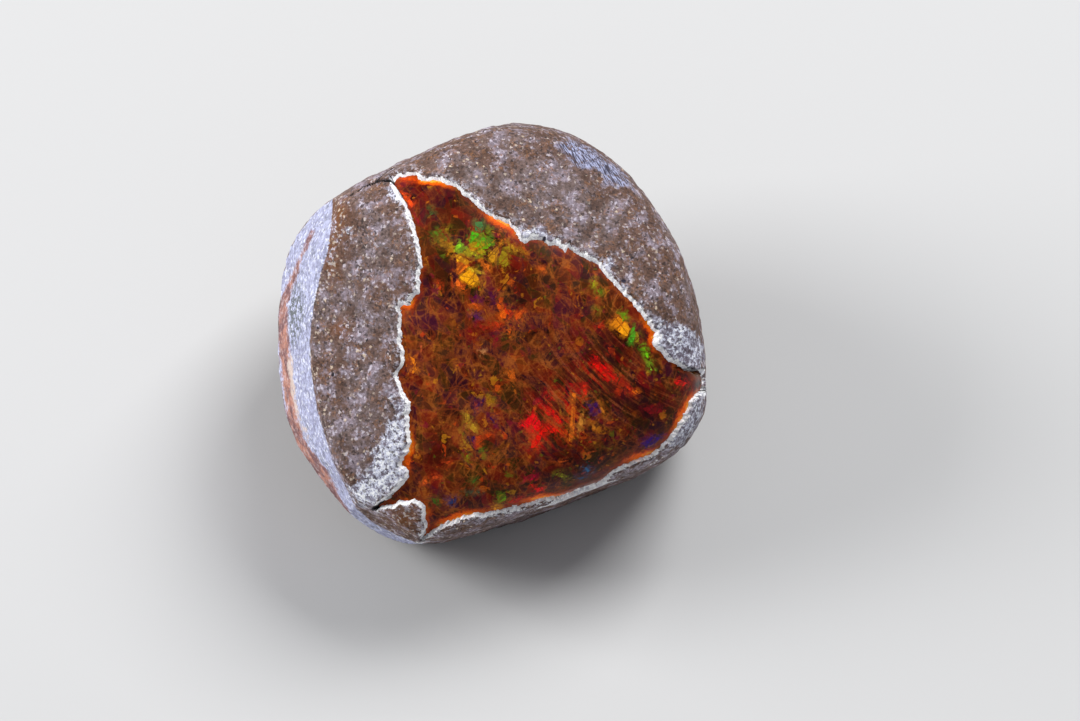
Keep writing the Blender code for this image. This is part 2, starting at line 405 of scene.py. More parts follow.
def with_poles(values):
    """A reading for every point: the two end points take their nearest row's mean."""
    return np.concatenate([[values[0].mean()], values.ravel(), [values[-1].mean()]])


readings = {
    "edge_gap": seen_gap, "ground": ground, "peach": peach, "cream": cream, "pit": pit,
    "crack_gap": crack_gap, "bleached": bleached, "whitest": whitest, "scratched": scratched,
    "brown_zone": zone(skin, BROWN_SPOTS) * front,
    "grey_zone": zone(skin, GREY_SPOTS) * front,
}
rind = new_piece(
    "rind", points, rows_to_faces(len(rows), EDGE_COLUMNS),
    {label: with_poles(values) for label, values in readings.items()},
)


def paint(red, green, blue):
    """A screen colour, each part 0 to 255, as the linear colour that a shader takes."""
    parts = np.array([red, green, blue]) / 255.0
    linear = np.where(parts <= 0.04045, parts / 12.92, ((parts + 0.055) / 1.055) ** 2.4)
    return (*linear.tolist(), 1.0)


class Wire:
    """A socket of a material's nodes. Arithmetic on it adds the nodes that work it out."""

    def __init__(self, tree, socket):
        self.tree, self.socket = tree, socket

    def node(self, kind, settings, values, out=0):
        """A new node of a kind: its settings first, then its sockets' values or links."""
        made = self.tree.nodes.new(kind)
        for label, setting in settings.items():
            setattr(made, label, setting)
        for label, value in values.items():
            if isinstance(value, Wire):
                self.tree.links.new(value.socket, made.inputs[label])
            else:
                made.inputs[label].default_value = value
        return Wire(self.tree, made.outputs[out])

    def other(self, out):
        """Another output of the same node."""
        return Wire(self.tree, self.socket.node.outputs[out])

    def maths(self, operation, *values):
        return self.node("ShaderNodeMath", {"operation": operation}, dict(enumerate(values)))

    def __add__(self, value):
        return self.maths("ADD", self, value)

    def __sub__(self, value):
        return self.maths("SUBTRACT", self, value)

    def __rsub__(self, value):
        return self.maths("SUBTRACT", value, self)

    def __mul__(self, value):
        return self.maths("MULTIPLY", self, value)

    def __abs__(self):
        return self.maths("ABSOLUTE", self)

    __radd__ = __add__
    __rmul__ = __mul__


def step(value, low, high):
    """Nought at low, one at high, and an even curve between."""
    if low > high:
        return 1.0 - step(value, high, low)
    kind = {"interpolation_type": "SMOOTHSTEP"}
    return value.node("ShaderNodeMapRange", kind, {0: value, 1: low, 2: high})


def blend(share, first, second):
    """One colour goes over into another as the share goes from 0 to 1. Each is a socket, or
    red, green and blue as on a screen."""
    first, second = (c if isinstance(c, Wire) else paint(*c) for c in (first, second))
    return share.node("ShaderNodeMix", {"data_type": "RGBA"}, {0: share, 6: first, 7: second}, 2)


def scaled(vector, amount):
    """A vector or a colour times a number."""
    return vector.node("ShaderNodeVectorMath", {"operation": "SCALE"}, {0: vector, "Scale": amount})


def vectors(operation, first, second):
    """Arithmetic on two vectors or colours, part by part."""
    return first.node("ShaderNodeVectorMath", {"operation": operation}, {0: first, 1: second})


def shifted(place, shift):
    """The place moved along, so that the same noise or cells come out unlike."""
    return vectors("ADD", place, [shift] * 3)


def stretched(place, bearing, scale):
    """The place in a frame turned to a bearing in degrees, with its own scale each way."""
    lie = {"Vector": place, "Rotation": (0, 0, radians(bearing)), "Scale": scale}
    return place.node("ShaderNodeMapping", {"vector_type": "TEXTURE"}, lie)


def voronoi(place, size, out="Distance", feature="F1"):
    """Irregular cells of a size in millimetres: the distance from each one's middle, its own
    random colour, or the distance from the walls between them."""
    values = {"Vector": place, "Scale": 1.0 / size}
    return place.node("ShaderNodeTexVoronoi", {"feature": feature}, values, out)


def split(colour):
    """A colour's red part. Its green and blue parts are the node's other outputs."""
    return colour.node("ShaderNodeSeparateColor", {}, {0: colour})


def reading(place, label, out="Fac"):
    """What is kept at the points of the piece under a label."""
    return place.node("ShaderNodeAttribute", {"attribute_name": label}, {}, out)


def clouds(place, size, shift, detail=2.0, rough=0.5):
    """Soft noise between 0 and 1, about 0.5, in lumps of a size in millimetres."""
    noise = {"Vector": shifted(place, shift), "Scale": 1.0 / size}
    return place.node("ShaderNodeTexNoise", {}, noise | {"Detail": detail, "Roughness": rough})


def nudged(place, size, amount):
    """The place moved about by noise of a size, by up to about half the amount, in mm."""
    noise = {"Vector": place, "Scale": 1.0 / size, "Detail": 1.0}
    sway = place.node("ShaderNodeTexNoise", {}, noise, "Color")
    return vectors("ADD", place, scaled(shifted(sway, -0.5), amount))


def grains(place, spacing, radius, share, shift):
    """One in round grains of a radius: one to a cell of the spacing, in that share of cells."""
    cell = voronoi(shifted(place, shift), spacing)
    near = step(cell, radius / spacing, radius / spacing * 0.5)
    return near * step(split(cell.other("Color")), 1.0 - share - 0.02, 1.0 - share + 0.02)


def new_finish(name):
    """A new material, its surface shader, and the place in the stone's own frame in mm."""
    finish = bpy.data.materials.new(name)
    finish.use_nodes = True
    surface = finish.node_tree.nodes["Principled BSDF"]
    where = Wire(finish.node_tree, None).node("ShaderNodeTexCoord", {}, {}, "Object")
    laid = {"Vector": where, "Location": LIFT * MM, "Rotation": (radians(FACE_LEAN), 0, 0)}
    laid["Scale"] = (MM, MM, MM)
    return finish, surface, where.node("ShaderNodeMapping", {"vector_type": "TEXTURE"}, laid)


def connect(surface, values):
    """Links or values for the surface shader's sockets."""
    for label, value in values.items():
        if isinstance(value, Wire):
            value.tree.links.new(value.socket, surface.inputs[label])
        else:
            surface.inputs[label].default_value = value


def bump(height, distance):
    """The surface normal over a height between 0 and 1 that stands for a distance in mm."""
    values = {"Height": height, "Distance": distance * MM, "Strength": 1.0}
    return height.node("ShaderNodeBump", {}, values)


# The rind's finish. Grey-brown crust, with a lilac haze, tan crystals, pale and dark grains,
# bleached bruises, fine-ground lavender flats, and a white fresh break round the window.
# Its pits are painted dark and its cracks near black, as painted shade in their hollows.
finish, surface, place = new_finish("rind")
fine = clouds(place, 0.2, 3.0, 2.0, 0.75)
small = clouds(place, 0.5, 11.0, 3.0, 0.7)
middling = clouds(place, 1.5, 23.0, 4.0, 0.65)
broad = clouds(place, 4.5, 31.0, 3.0)
rough_place = nudged(place, 0.22, 0.3)
flecks = step(clouds(place, 0.4, 5.0, 2.0, 0.8) + (middling - 0.5) * 0.3, 0.55, 0.67)

grain = split(voronoi(rough_place, 0.2, "Color"))
grain_two, grain_three = grain.other("Green"), grain.other("Blue")

crust = blend(step(broad, 0.4, 0.6), (108, 81, 70), (116, 98, 95))
crust = blend(step(middling, 0.5, 0.62) * 0.9, crust, (146, 132, 142))
crust = blend(step(middling, 0.47, 0.36) * 0.7, crust, (86, 60, 47))
crust = blend(step(small, 0.44, 0.3) * 0.7, crust, (72, 55, 48))
tan = step(clouds(place, 0.9, 47.0, 3.0), 0.53, 0.63) * step(fine, 0.42, 0.6)
crust = blend(tan * 0.6, crust, (142, 98, 66))
crust = blend(flecks * 0.4, crust, (176, 166, 182))
crust = scaled(crust, 0.68 + grain * 0.56)
brown_zone = reading(place, "brown_zone")
near_flats = step(reading(place, "ground"), -0.5, -0.1) + brown_zone
bright = step(grain_two + (middling - 0.5) * 0.6 + near_flats * 0.09, 0.92, 0.98)
pale = blend(step(middling, 0.44, 0.6), (204, 186, 168), (208, 200, 214))
crust = blend(bright * 0.7, crust, pale)
dark = step(grain_three, 0.88, 0.92)
crust = blend(dark * 0.7, crust, (50, 40, 40))
brown = brown_zone * step(small, 0.64, 0.52) * (1.0 - bright)
crust = blend(brown * 0.8, crust, (120, 70, 28))
crystals = grains(rough_place, 0.55, 0.17, 0.12, 13.0)
crystals = crystals + grains(rough_place, 0.45, 0.16, 0.4, 21.0) * brown_zone
crust = blend(crystals * 0.85, crust, (222, 200, 176))
crust = blend(grains(rough_place, 1.3, 0.17, 0.3, 17.0), crust, (34, 30, 38))

bleach = reading(place, "bleached") + (middling - 0.5) * 2.4 + (small - 0.5) * 1.8
bleach = step(bleach, -0.2, 0.35)
worn = clouds(place, 0.5, 67.0, 3.0, 0.8) + (middling - 0.5) * 0.3
worn = worn + reading(place, "whitest") * 0.08 - 0.02
mottle = blend(step(worn + (grain - 0.5) * 0.14, 0.42, 0.56), (112, 104, 118), (206, 210, 230))
mottle = blend(step(worn + (grain - 0.5) * 0.2, 0.56, 0.66), mottle, (250, 252, 255))
mottle = blend(step(grain_three, 0.8, 0.88) * 0.8, mottle, (70, 62, 70))
crust = blend(bleach * 0.92, crust, mottle)

ground_at = reading(place, "ground") + (small - 0.5) * 0.06
on_flat = step(ground_at, -0.08, -0.05)
lavender = blend(step(small, 0.38, 0.64), (156, 156, 186), (192, 196, 226))
lavender = scaled(lavender, 0.84 + grain * 0.3)
lavender = blend(step(grain_two, 0.8, 0.9) * 0.8, lavender, (236, 238, 250))
lavender = blend(step(grain_three, 0.86, 0.92) * 0.6, lavender, (112, 112, 134))
grey = reading(place, "grey_zone") * 1.4 + step(clouds(place, 1.4, 61.0, 3.0), 0.54, 0.66) * 0.5
lavender = blend(grey * step(small, 0.54, 0.46), lavender, (104, 108, 112))
peach_at = reading(place, "peach") + (middling - 0.5) * 0.9 + (small - 0.5) * 0.5
peach_at = peach_at + (grain - 0.5) * 0.1
peach_colour = blend(step(middling, 0.42, 0.6), (120, 74, 66), (190, 128, 102))
peach_colour = blend(step(small, 0.5, 0.66) * 0.6, peach_colour, (206, 176, 170))
peach_colour = scaled(peach_colour, 0.75 + grain * 0.5)
lavender = blend(step(peach_at, 0.36, 0.1) * 0.9, lavender, peach_colour)
cream_at = reading(place, "cream") + (middling - 0.5) * 0.9 + (small - 0.5) * 0.5
lavender = blend(step(cream_at, 0.22, 0.04) * 0.9, lavender, (220, 200, 190))
crust = blend(on_flat, crust, lavender)

scratch_lines = clouds(stretched(place, -62, (2.2, 0.1, 0.5)), 1.0, 71.0, 1.0)
scratch_zone = step(reading(place, "scratched") + (middling - 0.5) * 2.4, -0.2, 0.5)
scratch_zone = scratch_zone * step(small, 0.34, 0.48)
scratch_colour = blend(step(scratch_lines, 0.42, 0.56), (58, 58, 80), (178, 184, 220))
crust = blend(scratch_zone * 0.9, crust, scratch_colour)

edge_at = reading(place, "edge_gap")
edge_width = 0.28 + step(middling, 0.46, 0.68) * 0.22 + (small - 0.5) * 0.4 + (grain - 0.5) * 0.2
fresh = step(edge_at - edge_width, 0.05, -0.04)
fresh = fresh.maths("MAXIMUM", fresh, step(edge_at + (small - 0.5) * 0.3, 0.34, 0.24))
haze = step(edge_at, 1.1, 0.2) * step(small + fine * 0.4, 0.68, 0.8)
crust = blend(haze * 0.8, crust, (206, 202, 216))
white = blend(step(fine + (grain - 0.5) * 0.3, 0.3, 0.5), (220, 220, 232), (255, 255, 255))
crust = blend(fresh, crust, white)
foot = step(edge_at + (small - 0.5) * 0.1, 0.0, -0.05)
crust = blend(foot, crust, (70, 26, 14))
# Painted shade: the pits are painted dark and the cracks near black, for the shade that falls in
# their hollows.
crust = blend(step(reading(place, "pit"), 0.07, 0.14), crust, (60, 56, 72))
crack = step(reading(place, "crack_gap"), 0.22, 0.14)
crust = blend(crack, crust, (12, 9, 11))

spread = 0.97 + (fine - 0.5) * (0.8 - fresh * 0.5)
smoothed = 1.0 - on_flat * 0.6 - crack * 0.4
height = small * 0.8 + fine * 0.3 + grain * 0.14 + crystals * 0.25
height = height * smoothed * (1.0 - fresh * 0.5) + scratch_zone * scratch_lines * 0.5
connect(surface, {
    "Base Color": scaled(crust, spread),
    "Roughness": 0.8 - bleach * 0.1,
    "Normal": bump(height, 0.17),
    "Specular IOR Level": 0.3,
})
rind.data.materials.append(finish)
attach(rind, "root")
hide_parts("rough_opal")

# The opal in the window is dark red-brown and glassy. Cloudy fibres cross in it, and flat
# patches inside it flash one pure colour each. It grew under the rind, which still holds it.
WINDOW_POINTS = 304
OPAL_UNDERSIDE = 1.35
OPAL_TUCK = 0.4
TUCK_DEPTH = 0.8
UNDER_ROWS = (1.0, 0.75, 0.5, 0.25)
OUTLINE_POINTS = 2000
RING_POINTS = 1440
RING_REACH = 5
LAPS = (-2, -1, 0, 1, 2)
side = np.linspace(-1.0, 1.0, WINDOW_POINTS) + 1e-9
across, up = np.meshgrid(side, side)
wide = np.abs(across) > np.abs(up)
share = np.maximum(np.abs(across), np.abs(up))
slant = np.where(wide, up, across) / np.where(wide, across, up)
turn = np.where(wide, np.pi / 4 * slant, np.pi / 2 - np.pi / 4 * slant)
turn += np.where(np.where(wide, across, up) < 0, np.pi, 0.0)


def widened(values, reach):
    """Each value of a ring becomes the largest within reach of it, and then their mean."""
    near = range(-reach, reach + 1)
    largest = np.max([np.roll(values, shift) for shift in near], axis=0)
    return np.mean([np.roll(largest, shift) for shift in near], axis=0)


edge_bearing, edge_angle = edge_rays(OUTLINE_POINTS)
ring = np.arange(RING_POINTS) / RING_POINTS * 2 * np.pi
laps = np.concatenate([edge_bearing + lap * 2 * np.pi for lap in LAPS])
limit = widened(np.interp(ring, laps, np.tile(edge_angle, len(LAPS))), RING_REACH)
limit = limit + OPAL_TUCK / EDGE_REACH
limit = np.interp(np.mod(turn, 2 * np.pi), np.append(ring, 2 * np.pi), np.append(limit, limit[0]))
rays = aim(turn, limit * share)
skin = HEART + reach_skin(HEART, rays)[..., None] * rays
inside_window = inside_of_window(skin, rays)
tucked = TUCK_DEPTH * smooth_step(0.1, 0.7, -inside_window)
face = skin - (opal_depth(skin) + tucked + 0.02 * waviness(skin, 3.0, 41))[..., None] * rays

# The face is a square sheet drawn out to the window's outline; rows under it close the piece.
numbers = np.arange(WINDOW_POINTS ** 2).reshape(WINDOW_POINTS, WINDOW_POINTS)
quads = [numbers[:-1, :-1], numbers[:-1, 1:], numbers[1:, 1:], numbers[1:, :-1]]
quads = np.stack(quads, axis=-1).reshape(-1, 4)
rim = np.concatenate([numbers[0, :-1], numbers[:-1, -1], numbers[-1, :0:-1], numbers[:0:-1, 0]])
under_rays = aim(turn.ravel()[rim], limit.ravel()[rim] * np.array(UNDER_ROWS)[:, None])
under = HEART + (reach_skin(HEART, under_rays) - OPAL_UNDERSIDE)[..., None] * under_rays
under_pole = under[-1].mean(axis=0)
rings = np.vstack([rim, WINDOW_POINTS ** 2 + np.arange(under[..., 0].size).reshape(-1, len(rim))])
nexts = np.roll(rings, -1, axis=1)
walls = np.stack([rings[:-1], rings[1:], nexts[1:], nexts[:-1]], axis=-1).reshape(-1, 4)
last = np.full(len(rim), rings.max() + 1)
closing = np.stack([last, nexts[-1], rings[-1]], axis=-1)
points = np.concatenate([face.reshape(-1, 3), under.reshape(-1, 3), under_pole[None]])

# Thin panes inside the opal: bearing, length, width and shift of each layer.
PANES = (
    (62, 3.0, 1.2, 5.0), (118, 3.2, 1.0, 15.0), (14, 2.6, 1.1, 25.0), (86, 3.6, 0.9, 35.0),
    (140, 2.8, 0.8, 45.0),
)

# Flashes: a row holds one's red, green and blue, and then x and y of each of its corners.
FLASHES = (
    (60, 165, 20, -1.9, 8.6, -1.05, 8.35, -0.35, 8.15, -0.25, 7.5, -1.1, 7.6, -2.15, 7.75, -2.1,
     8.1),
    (105, 165, 15, -2.15, 7.75, -1.1, 7.6, -0.25, 7.5, -0.6, 7.1, -1.25, 7.15, -1.9, 7.4),
    (62, 105, 55, -1.65, 9.4, -1.05, 9.4, -0.9, 8.75, -1.15, 8.5, -1.65, 8.6),
    (115, 130, 25, -0.9, 8.6, -0.35, 9, -0.25, 8.75, -0.6, 8.25),
    (130, 195, 35, -3.25, 7.4, -2.9, 7.6, -2.35, 7.15, -2.7, 6.9, -3.25, 6.9),
    (188, 180, 25, -2.7, 6.9, -2.15, 7.15, -1.5, 6.9, -1.35, 6.55, -2, 6.6),
    (150, 145, 20, -1.6, 7.1, -0.9, 7.1, -0.65, 6.6, -1.15, 6.65),
    (238, 165, 25, -3.3, 6.6, -2.9, 6.6, -1.9, 6.05, -2.4, 5.85, -3.15, 6.1),
    (226, 110, 20, -3.15, 6.1, -2.4, 5.85, -2.15, 5.75, -2.9, 5.1, -3.25, 4.9),
    (240, 162, 18, -3, 4.8, -2.15, 5.4, -1.65, 5.1, -1.25, 4.65, -1.85, 4.1, -2.5, 4.4),
    (222, 100, 28, -3.4, 4.1, -3.1, 4.65, -2.85, 4.4, -2.9, 3.95),
    (205, 85, 22, -2.85, 4.25, -2.4, 4.1, -2.5, 3.65, -2.9, 3.85),
    (232, 115, 28, -1.25, 6.05, -0.4, 5.85, -0.5, 5.35, -0.85, 5.6),
    (214, 172, 32, -2.25, 5.5, -1.9, 5.65, -1.15, 5.25, -1.05, 5, -1.6, 5.1),
    (88, 74, 18, -2, 5.9, -1.25, 5.85, -1.15, 5.4, -1.9, 5.75),
    (78, 104, 24, -5.2, 8.55, -4.8, 8.75, -4.15, 8.35, -3.85, 7.9, -4.65, 7.6, -5.1, 7.9),
    (156, 112, 22, -5, 7.6, -3.95, 7.75, -3.25, 7.35, -3.5, 7.1, -4.4, 7.3),
    (132, 108, 20, -4.25, 8.85, -3.75, 8.9, -3.85, 8.35, -4.15, 8.4),
    (66, 86, 38, -5.6, 10.5, -5.1, 10.6, -5, 10, -5.35, 9.9),
    (192, 132, 22, -0.6, 6.6, -0.1, 7.1, 0.5, 7.6, 0.2, 6.65, -0.1, 5.9, -0.4, 6.15),
    (140, 116, 18, 0.35, 6.45, 0.75, 7.3, 1.25, 7.4, 1.35, 7, 1.05, 6.6, 1.15, 5.85, 0.85, 5.6,
     0.35, 5.9),
    (168, 118, 22, 1.05, 7.75, 2.1, 7.1, 2.3, 6.9, 1.65, 6.9, 1.15, 7.3),
    (232, 92, 15, -0.6, 9.9, 0.35, 9.8, 1.35, 9.15, 1.65, 8.75, 0.75, 8.85, -0.2, 9.4),
    (252, 165, 40, 0.25, 9.6, 1, 9.25, 1.35, 8.9, 0.65, 9.1),
    (185, 22, 12, 1.25, 8.75, 1.75, 8.75, 1.85, 8.4, 1.35, 8.4),
    (200, 62, 14, -8.35, 13.1, -6.35, 13.05, -6.5, 12.75, -7.6, 12.85),
    (228, 70, 18, -7.85, 12.15, -7.4, 11.75, -6.75, 10.9, -6.9, 10.5, -7.4, 11.25, -7.75, 11.75),
    (122, 16, 28, -6.85, 10.5, -6.35, 9.65, -6.15, 9.1, -6.6, 9.4, -6.8, 10.1),
    (112, 20, 52, -5, 4.1, -4.6, 4, -4.75, 3.15, -5.1, 3.4),
    (192, 62, 20, -4.75, 4.4, -4.4, 4.25, -4.5, 3.65, -4.75, 3.85),
    (88, 12, 55, -2.1, 3, -1.45, 3.4, -0.75, 2.9, -1.15, 2.6, -1.9, 2.7),
    (226, 92, 20, -2.15, 2.5, -1.65, 2.7, -1.25, 2.4, -1.35, 2.1, -1.65, 2.4),
    (84, 22, 84, -2, 1.75, -1.25, 1.85, -1.15, 1.25, -1.65, 1.35),
    (240, 98, 16, -0.05, 2.85, 0.35, 2.6, 1.05, 2, 0.9, 1.35, 0.5, 1.35, 0.35, 2),
    (222, 62, 12, 0.75, 2.3, 1.45, 2, 1.25, 1.65, 0.9, 1.75),
    (222, 84, 22, 1.65, 1.6, 2.4, 2.15, 2.5, 2, 2.1, 1.35, 1.75, 1.15),
    (192, 52, 16, -0.35, 1.15, 0.6, 1.05, 0.4, 0.5, -0.25, 0.65),
    (196, 84, 22, 3.65, 5.6, 4.15, 5.6, 4.15, 5.3, 3.75, 5.35),
    (78, 18, 52, -0.6, 3.6, -0.25, 3.65, 0.15, 2.6, -0.1, 2.4),
    (150, 30, 20, -1.4, 1.25, -0.75, 0.4, -0.9, 0.25, -1.5, 0.85),
    (236, 138, 18, 9.45, 0.85, 10.25, 1.55, 10.85, 1.1, 10.25, 0.25),
    (244, 158, 20, 10.25, 0.25, 10.85, 1.1, 11.25, 0.55, 11, -0.2),
    (90, 145, 18, 10.35, 1.8, 10.9, 1.85, 11, 1.25, 10.65, 1.1),
    (72, 162, 32, 11.3, 0.55, 11.6, 0.7, 11.7, -0.15, 11.35, -0.7, 11.05, -0.4),
    (142, 122, 22, 11.75, 0.35, 12, -0.15, 11.95, -0.65, 11.6, -0.6),
    (112, 196, 22, 12.15, -0.95, 12.4, -0.95, 12.7, -1.5, 12.78, -1.95, 12.62, -1.95, 12.4, -1.4),
    (132, 190, 40, 12.7, -2.25, 12.85, -2.25, 13, -2.8, 13.2, -3, 12.95, -3),
    (150, 150, 18, 8.1, 4.45, 8.35, 4.6, 8.35, 4, 8.15, 4),
    (96, 132, 22, 8.25, 3.9, 8.5, 3.9, 8.85, 3.5, 8.5, 3.6),
    (104, 106, 24, 8.25, 2.25, 8.65, 2.15, 8.6, 1.9),
    (214, 28, 12, 8.5, 0.9, 8.9, 0.9, 8.9, 0.55, 8.6, 0.55),
    (184, 52, 16, 9.35, -1, 9.9, -1.1, 9.85, -1.5, 9.45, -1.5),
    (234, 14, 10, 8, -2.35, 8.9, -2.4, 10.3, -3.6, 10.25, -3.9, 9.45, -3.8, 8.75, -3.15),
    (206, 48, 15, 10.3, -3.75, 11.4, -4.35, 11.95, -4.9, 11.6, -4.95, 10.65, -4.2),
    (240, 112, 22, 11.35, -4.5, 11.85, -4.65, 12.05, -4.95, 11.6, -4.95),
    (220, 60, 18, 10.1, -4.4, 10.65, -4.45, 10.55, -4.9, 10.25, -4.85),
    (200, 18, 16, 8.15, -1.65, 8.55, -1.75, 8.5, -2.15, 8.25, -2),
    (226, 12, 16, 14.85, -3.9, 15.4, -3.7, 16, -4, 15.65, -4.25, 15.1, -4.2),
    (112, 16, 26, 6.75, 0.65, 7.25, 0.6, 7.9, -0.5, 7.9, -0.85, 7.4, -0.5),
    (150, 16, 16, 6.1, -4, 7.65, -3.9, 7.65, -5.1, 6.75, -4.85),
    (226, 16, 12, 7.3, -4.15, 7.65, -4.15, 7.6, -5.15, 7.35, -5.1),
    (214, 108, 25, 6.4, -4.7, 6.75, -4.9, 6.65, -6.6, 6.6, -7.9, 6.35, -9, 6.1, -8.75, 6.25, -7.4,
     6.35, -5.85),
    (216, 138, 50, 7.05, -6.5, 7.4, -6.4, 7.35, -7.4, 7, -8.25, 6.9, -7.75),
    (190, 112, 30, 7.9, -7.15, 8.15, -7.35, 8.5, -7.9, 8.15, -7.85),
    (62, 22, 78, 7.65, -5.75, 8.5, -5.6, 8.9, -6.4, 8.1, -6.85),
    (112, 15, 20, 12.15, -6.1, 13.6, -5.65, 14.25, -6.4, 12.9, -6.6),
    (52, 12, 112, 12.15, -9, 13, -8.5, 14.1, -8.4, 13.4, -8.9, 12.65, -9.4),
    (46, 92, 132, 7.35, -11, 7.65, -10.9, 8.1, -11.25, 7.65, -11.45),
    (42, 62, 92, 6.75, -11.85, 7.35, -11.75, 7.65, -11.85, 7.1, -12.05),
    (130, 128, 22, 4.9, -11.6, 5.4, -11.4, 6.1, -11.75, 5.9, -11.9, 5.3, -11.8),
    (190, 4, 52, 2.35, -11.85, 3.05, -11.5, 3.5, -11.6, 3.15, -12.05, 2.4, -12.25),
    (240, 12, 16, 2.85, -12.4, 3.1, -12.4, 3.25, -12.75, 4, -12.6, 4.05, -12.9, 3.5, -13.05),
    (184, 24, 16, 1, -13.9, 1.6, -13.6, 2.35, -13.4, 2.15, -13.65, 1.5, -14.05),
    (112, 156, 22, 0.1, -13.35, 0.9, -13.1, 0.95, -13.75, 0.3, -13.9),
    (242, 166, 34, -0.15, -14.25, 0.4, -14.2, 0.3, -14.6, -0.1, -14.55),
    (42, 84, 62, -2.6, -13.05, -1.95, -12.85, -1.1, -13.05, -1.85, -13.25),
    (52, 92, 28, -2, -12.1, -1.5, -11.95, -1.75, -12.4),
    (46, 52, 96, -4.1, -13.6, -3.15, -13.55, -3.25, -14.05, -3.9, -14.05),
    (62, 84, 22, -5.3, -13.5, -4.6, -13.6, -4.7, -14.25, -5.1, -14),
    (204, 82, 26, -6.1, -12.1, -5.65, -11.9, -5.55, -12.4, -6, -12.45),
    (200, 72, 26, -5.3, -11.8, -4.65, -11.6, -4.6, -11.9, -5.15, -12),
    (182, 62, 20, -4.25, -10.55, -3.6, -10.4, -3.9, -10.8),
    (122, 132, 22, -2.45, -10, -2.15, -9.9, -2.2, -10.45),
    (82, 122, 22, -1.2, -9.5, -0.9, -9.55, -1, -10.15),
    (172, 132, 32, -2.5, -6.4, -2.15, -6.65, -1.75, -7.4, -1.25, -8.15, -1.6, -8.2, -2.1, -7.75,
     -2.4, -7.5),
    (180, 136, 24, -0.65, -5.2, -0.35, -4.95, -0.05, -5.4, -0.25, -6.1, -0.5, -5.65),
    (162, 116, 30, -2.85, -8, -2.5, -8.65, -2.1, -9.35, -2.6, -9.2),
    (60, 20, 62, -2.15, -5.4, -0.85, -5.3, -1.05, -6.25, -1.65, -6.5),
    (46, 20, 74, -2.1, -8.4, -1.65, -8.4, -1.75, -9.15),
    (54, 22, 66, -0.65, -6.65, 0, -6.85, 0, -7.5),
    (182, 60, 16, -1.65, -8.45, -0.85, -8.2, 0, -8.2, -0.75, -8.65, -1.5, -9.15),
    (218, 118, 22, -7.05, -1.75, -6.65, -1.95, -6.45, -3, -6.9, -3.3, -6.75, -2.5),
    (172, 76, 40, -6.2, -0.85, -6, -0.85, -6.05, -1.85, -6.2, -1.65),
    (192, 86, 20, 1.05, -2.9, 1.6, -3, 1.75, -3.6, 1.25, -3.8, 1.05, -3.4),
    (176, 70, 16, 0, -4.1, 0.5, -4.15, 0.4, -4.6, 0, -4.85),
    (122, 20, 30, -0.2, 0.1, 0.35, -0.1, 0.25, -1, -0.15, -0.85),
    (222, 90, 20, 0.9, 0.5, 1.45, 0.5, 1.25, 0.05),
    (232, 155, 95, -1.2, -1.3, -0.9, -1.3, -1, -1.6),
    (226, 12, 24, 2.15, -7.5, 2.5, -7.05, 3.25, -6.35, 3.65, -6.9, 3.85, -7.5, 3.1, -8.1),
    (232, 22, 12, 3.1, -8.1, 3.85, -7.5, 4.5, -7.6, 5, -7.9, 5, -8.15, 4, -8.05, 3.85, -8.6, 3.55,
     -9.4, 3, -9.4),
    (216, 14, 18, 3.65, -5.6, 4.05, -5.75, 4.65, -6.6, 4.4, -6.8),
    (200, 14, 20, 4.15, -4.65, 4.85, -5.15, 5.15, -5.65, 4.5, -5.25),
    (222, 16, 14, 4.5, -5.9, 4.85, -6.15, 5.5, -7.1, 5.55, -7.6, 5, -7, 4.75, -6.4),
    (232, 30, 12, 4.15, -7.4, 5.25, -7.65, 5.6, -8.2, 4.75, -7.85),
    (196, 82, 24, 6.25, -10.4, 5.4, -10.65, 4.75, -10.5),
    (176, 74, 30, 7.25, -10, 7.85, -9.65, 8.5, -9.6, 7.9, -9.9),
    (112, 86, 22, 9.1, -9.35, 9.9, -9.4, 9.6, -9.6),
    (150, 92, 26, 5.1, -5, 5.35, -5.75, 5.65, -6.75, 5.4, -6.65),
    (196, 110, 30, 8.4, -5.25, 9, -6.15, 9.35, -6.9, 8.85, -6.35),
    (238, 96, 20, -7.25, -9.85, -6.9, -10.4, -7.15, -10.9, -7.5, -10.65),
    (252, 180, 80, -7, -8.95, -6.7, -9.25, -6.75, -9.85, -6.95, -9.6),
)
flash_gap = np.full(len(points), -2.0)
flash_colour = np.tile(paint(150, 60, 20), (len(points), 1))
for red, green, blue, *corners in FLASHES:
    corners = np.reshape(corners, (-1, 2))
    middle = (corners.min(axis=0) + corners.max(axis=0)) / 2
    half = (corners.max(axis=0) - corners.min(axis=0)) / 2 + 0.6
    close = np.flatnonzero((np.abs(points[:, :2] - middle) < half).all(axis=1))
    gap = gap_inside(points[close], corners)
    taken = (gap > flash_gap[close]) | (gap > 0.0)
    flash_gap[close[taken]] = gap[taken]
    flash_colour[close[taken]] = paint(red, green, blue)
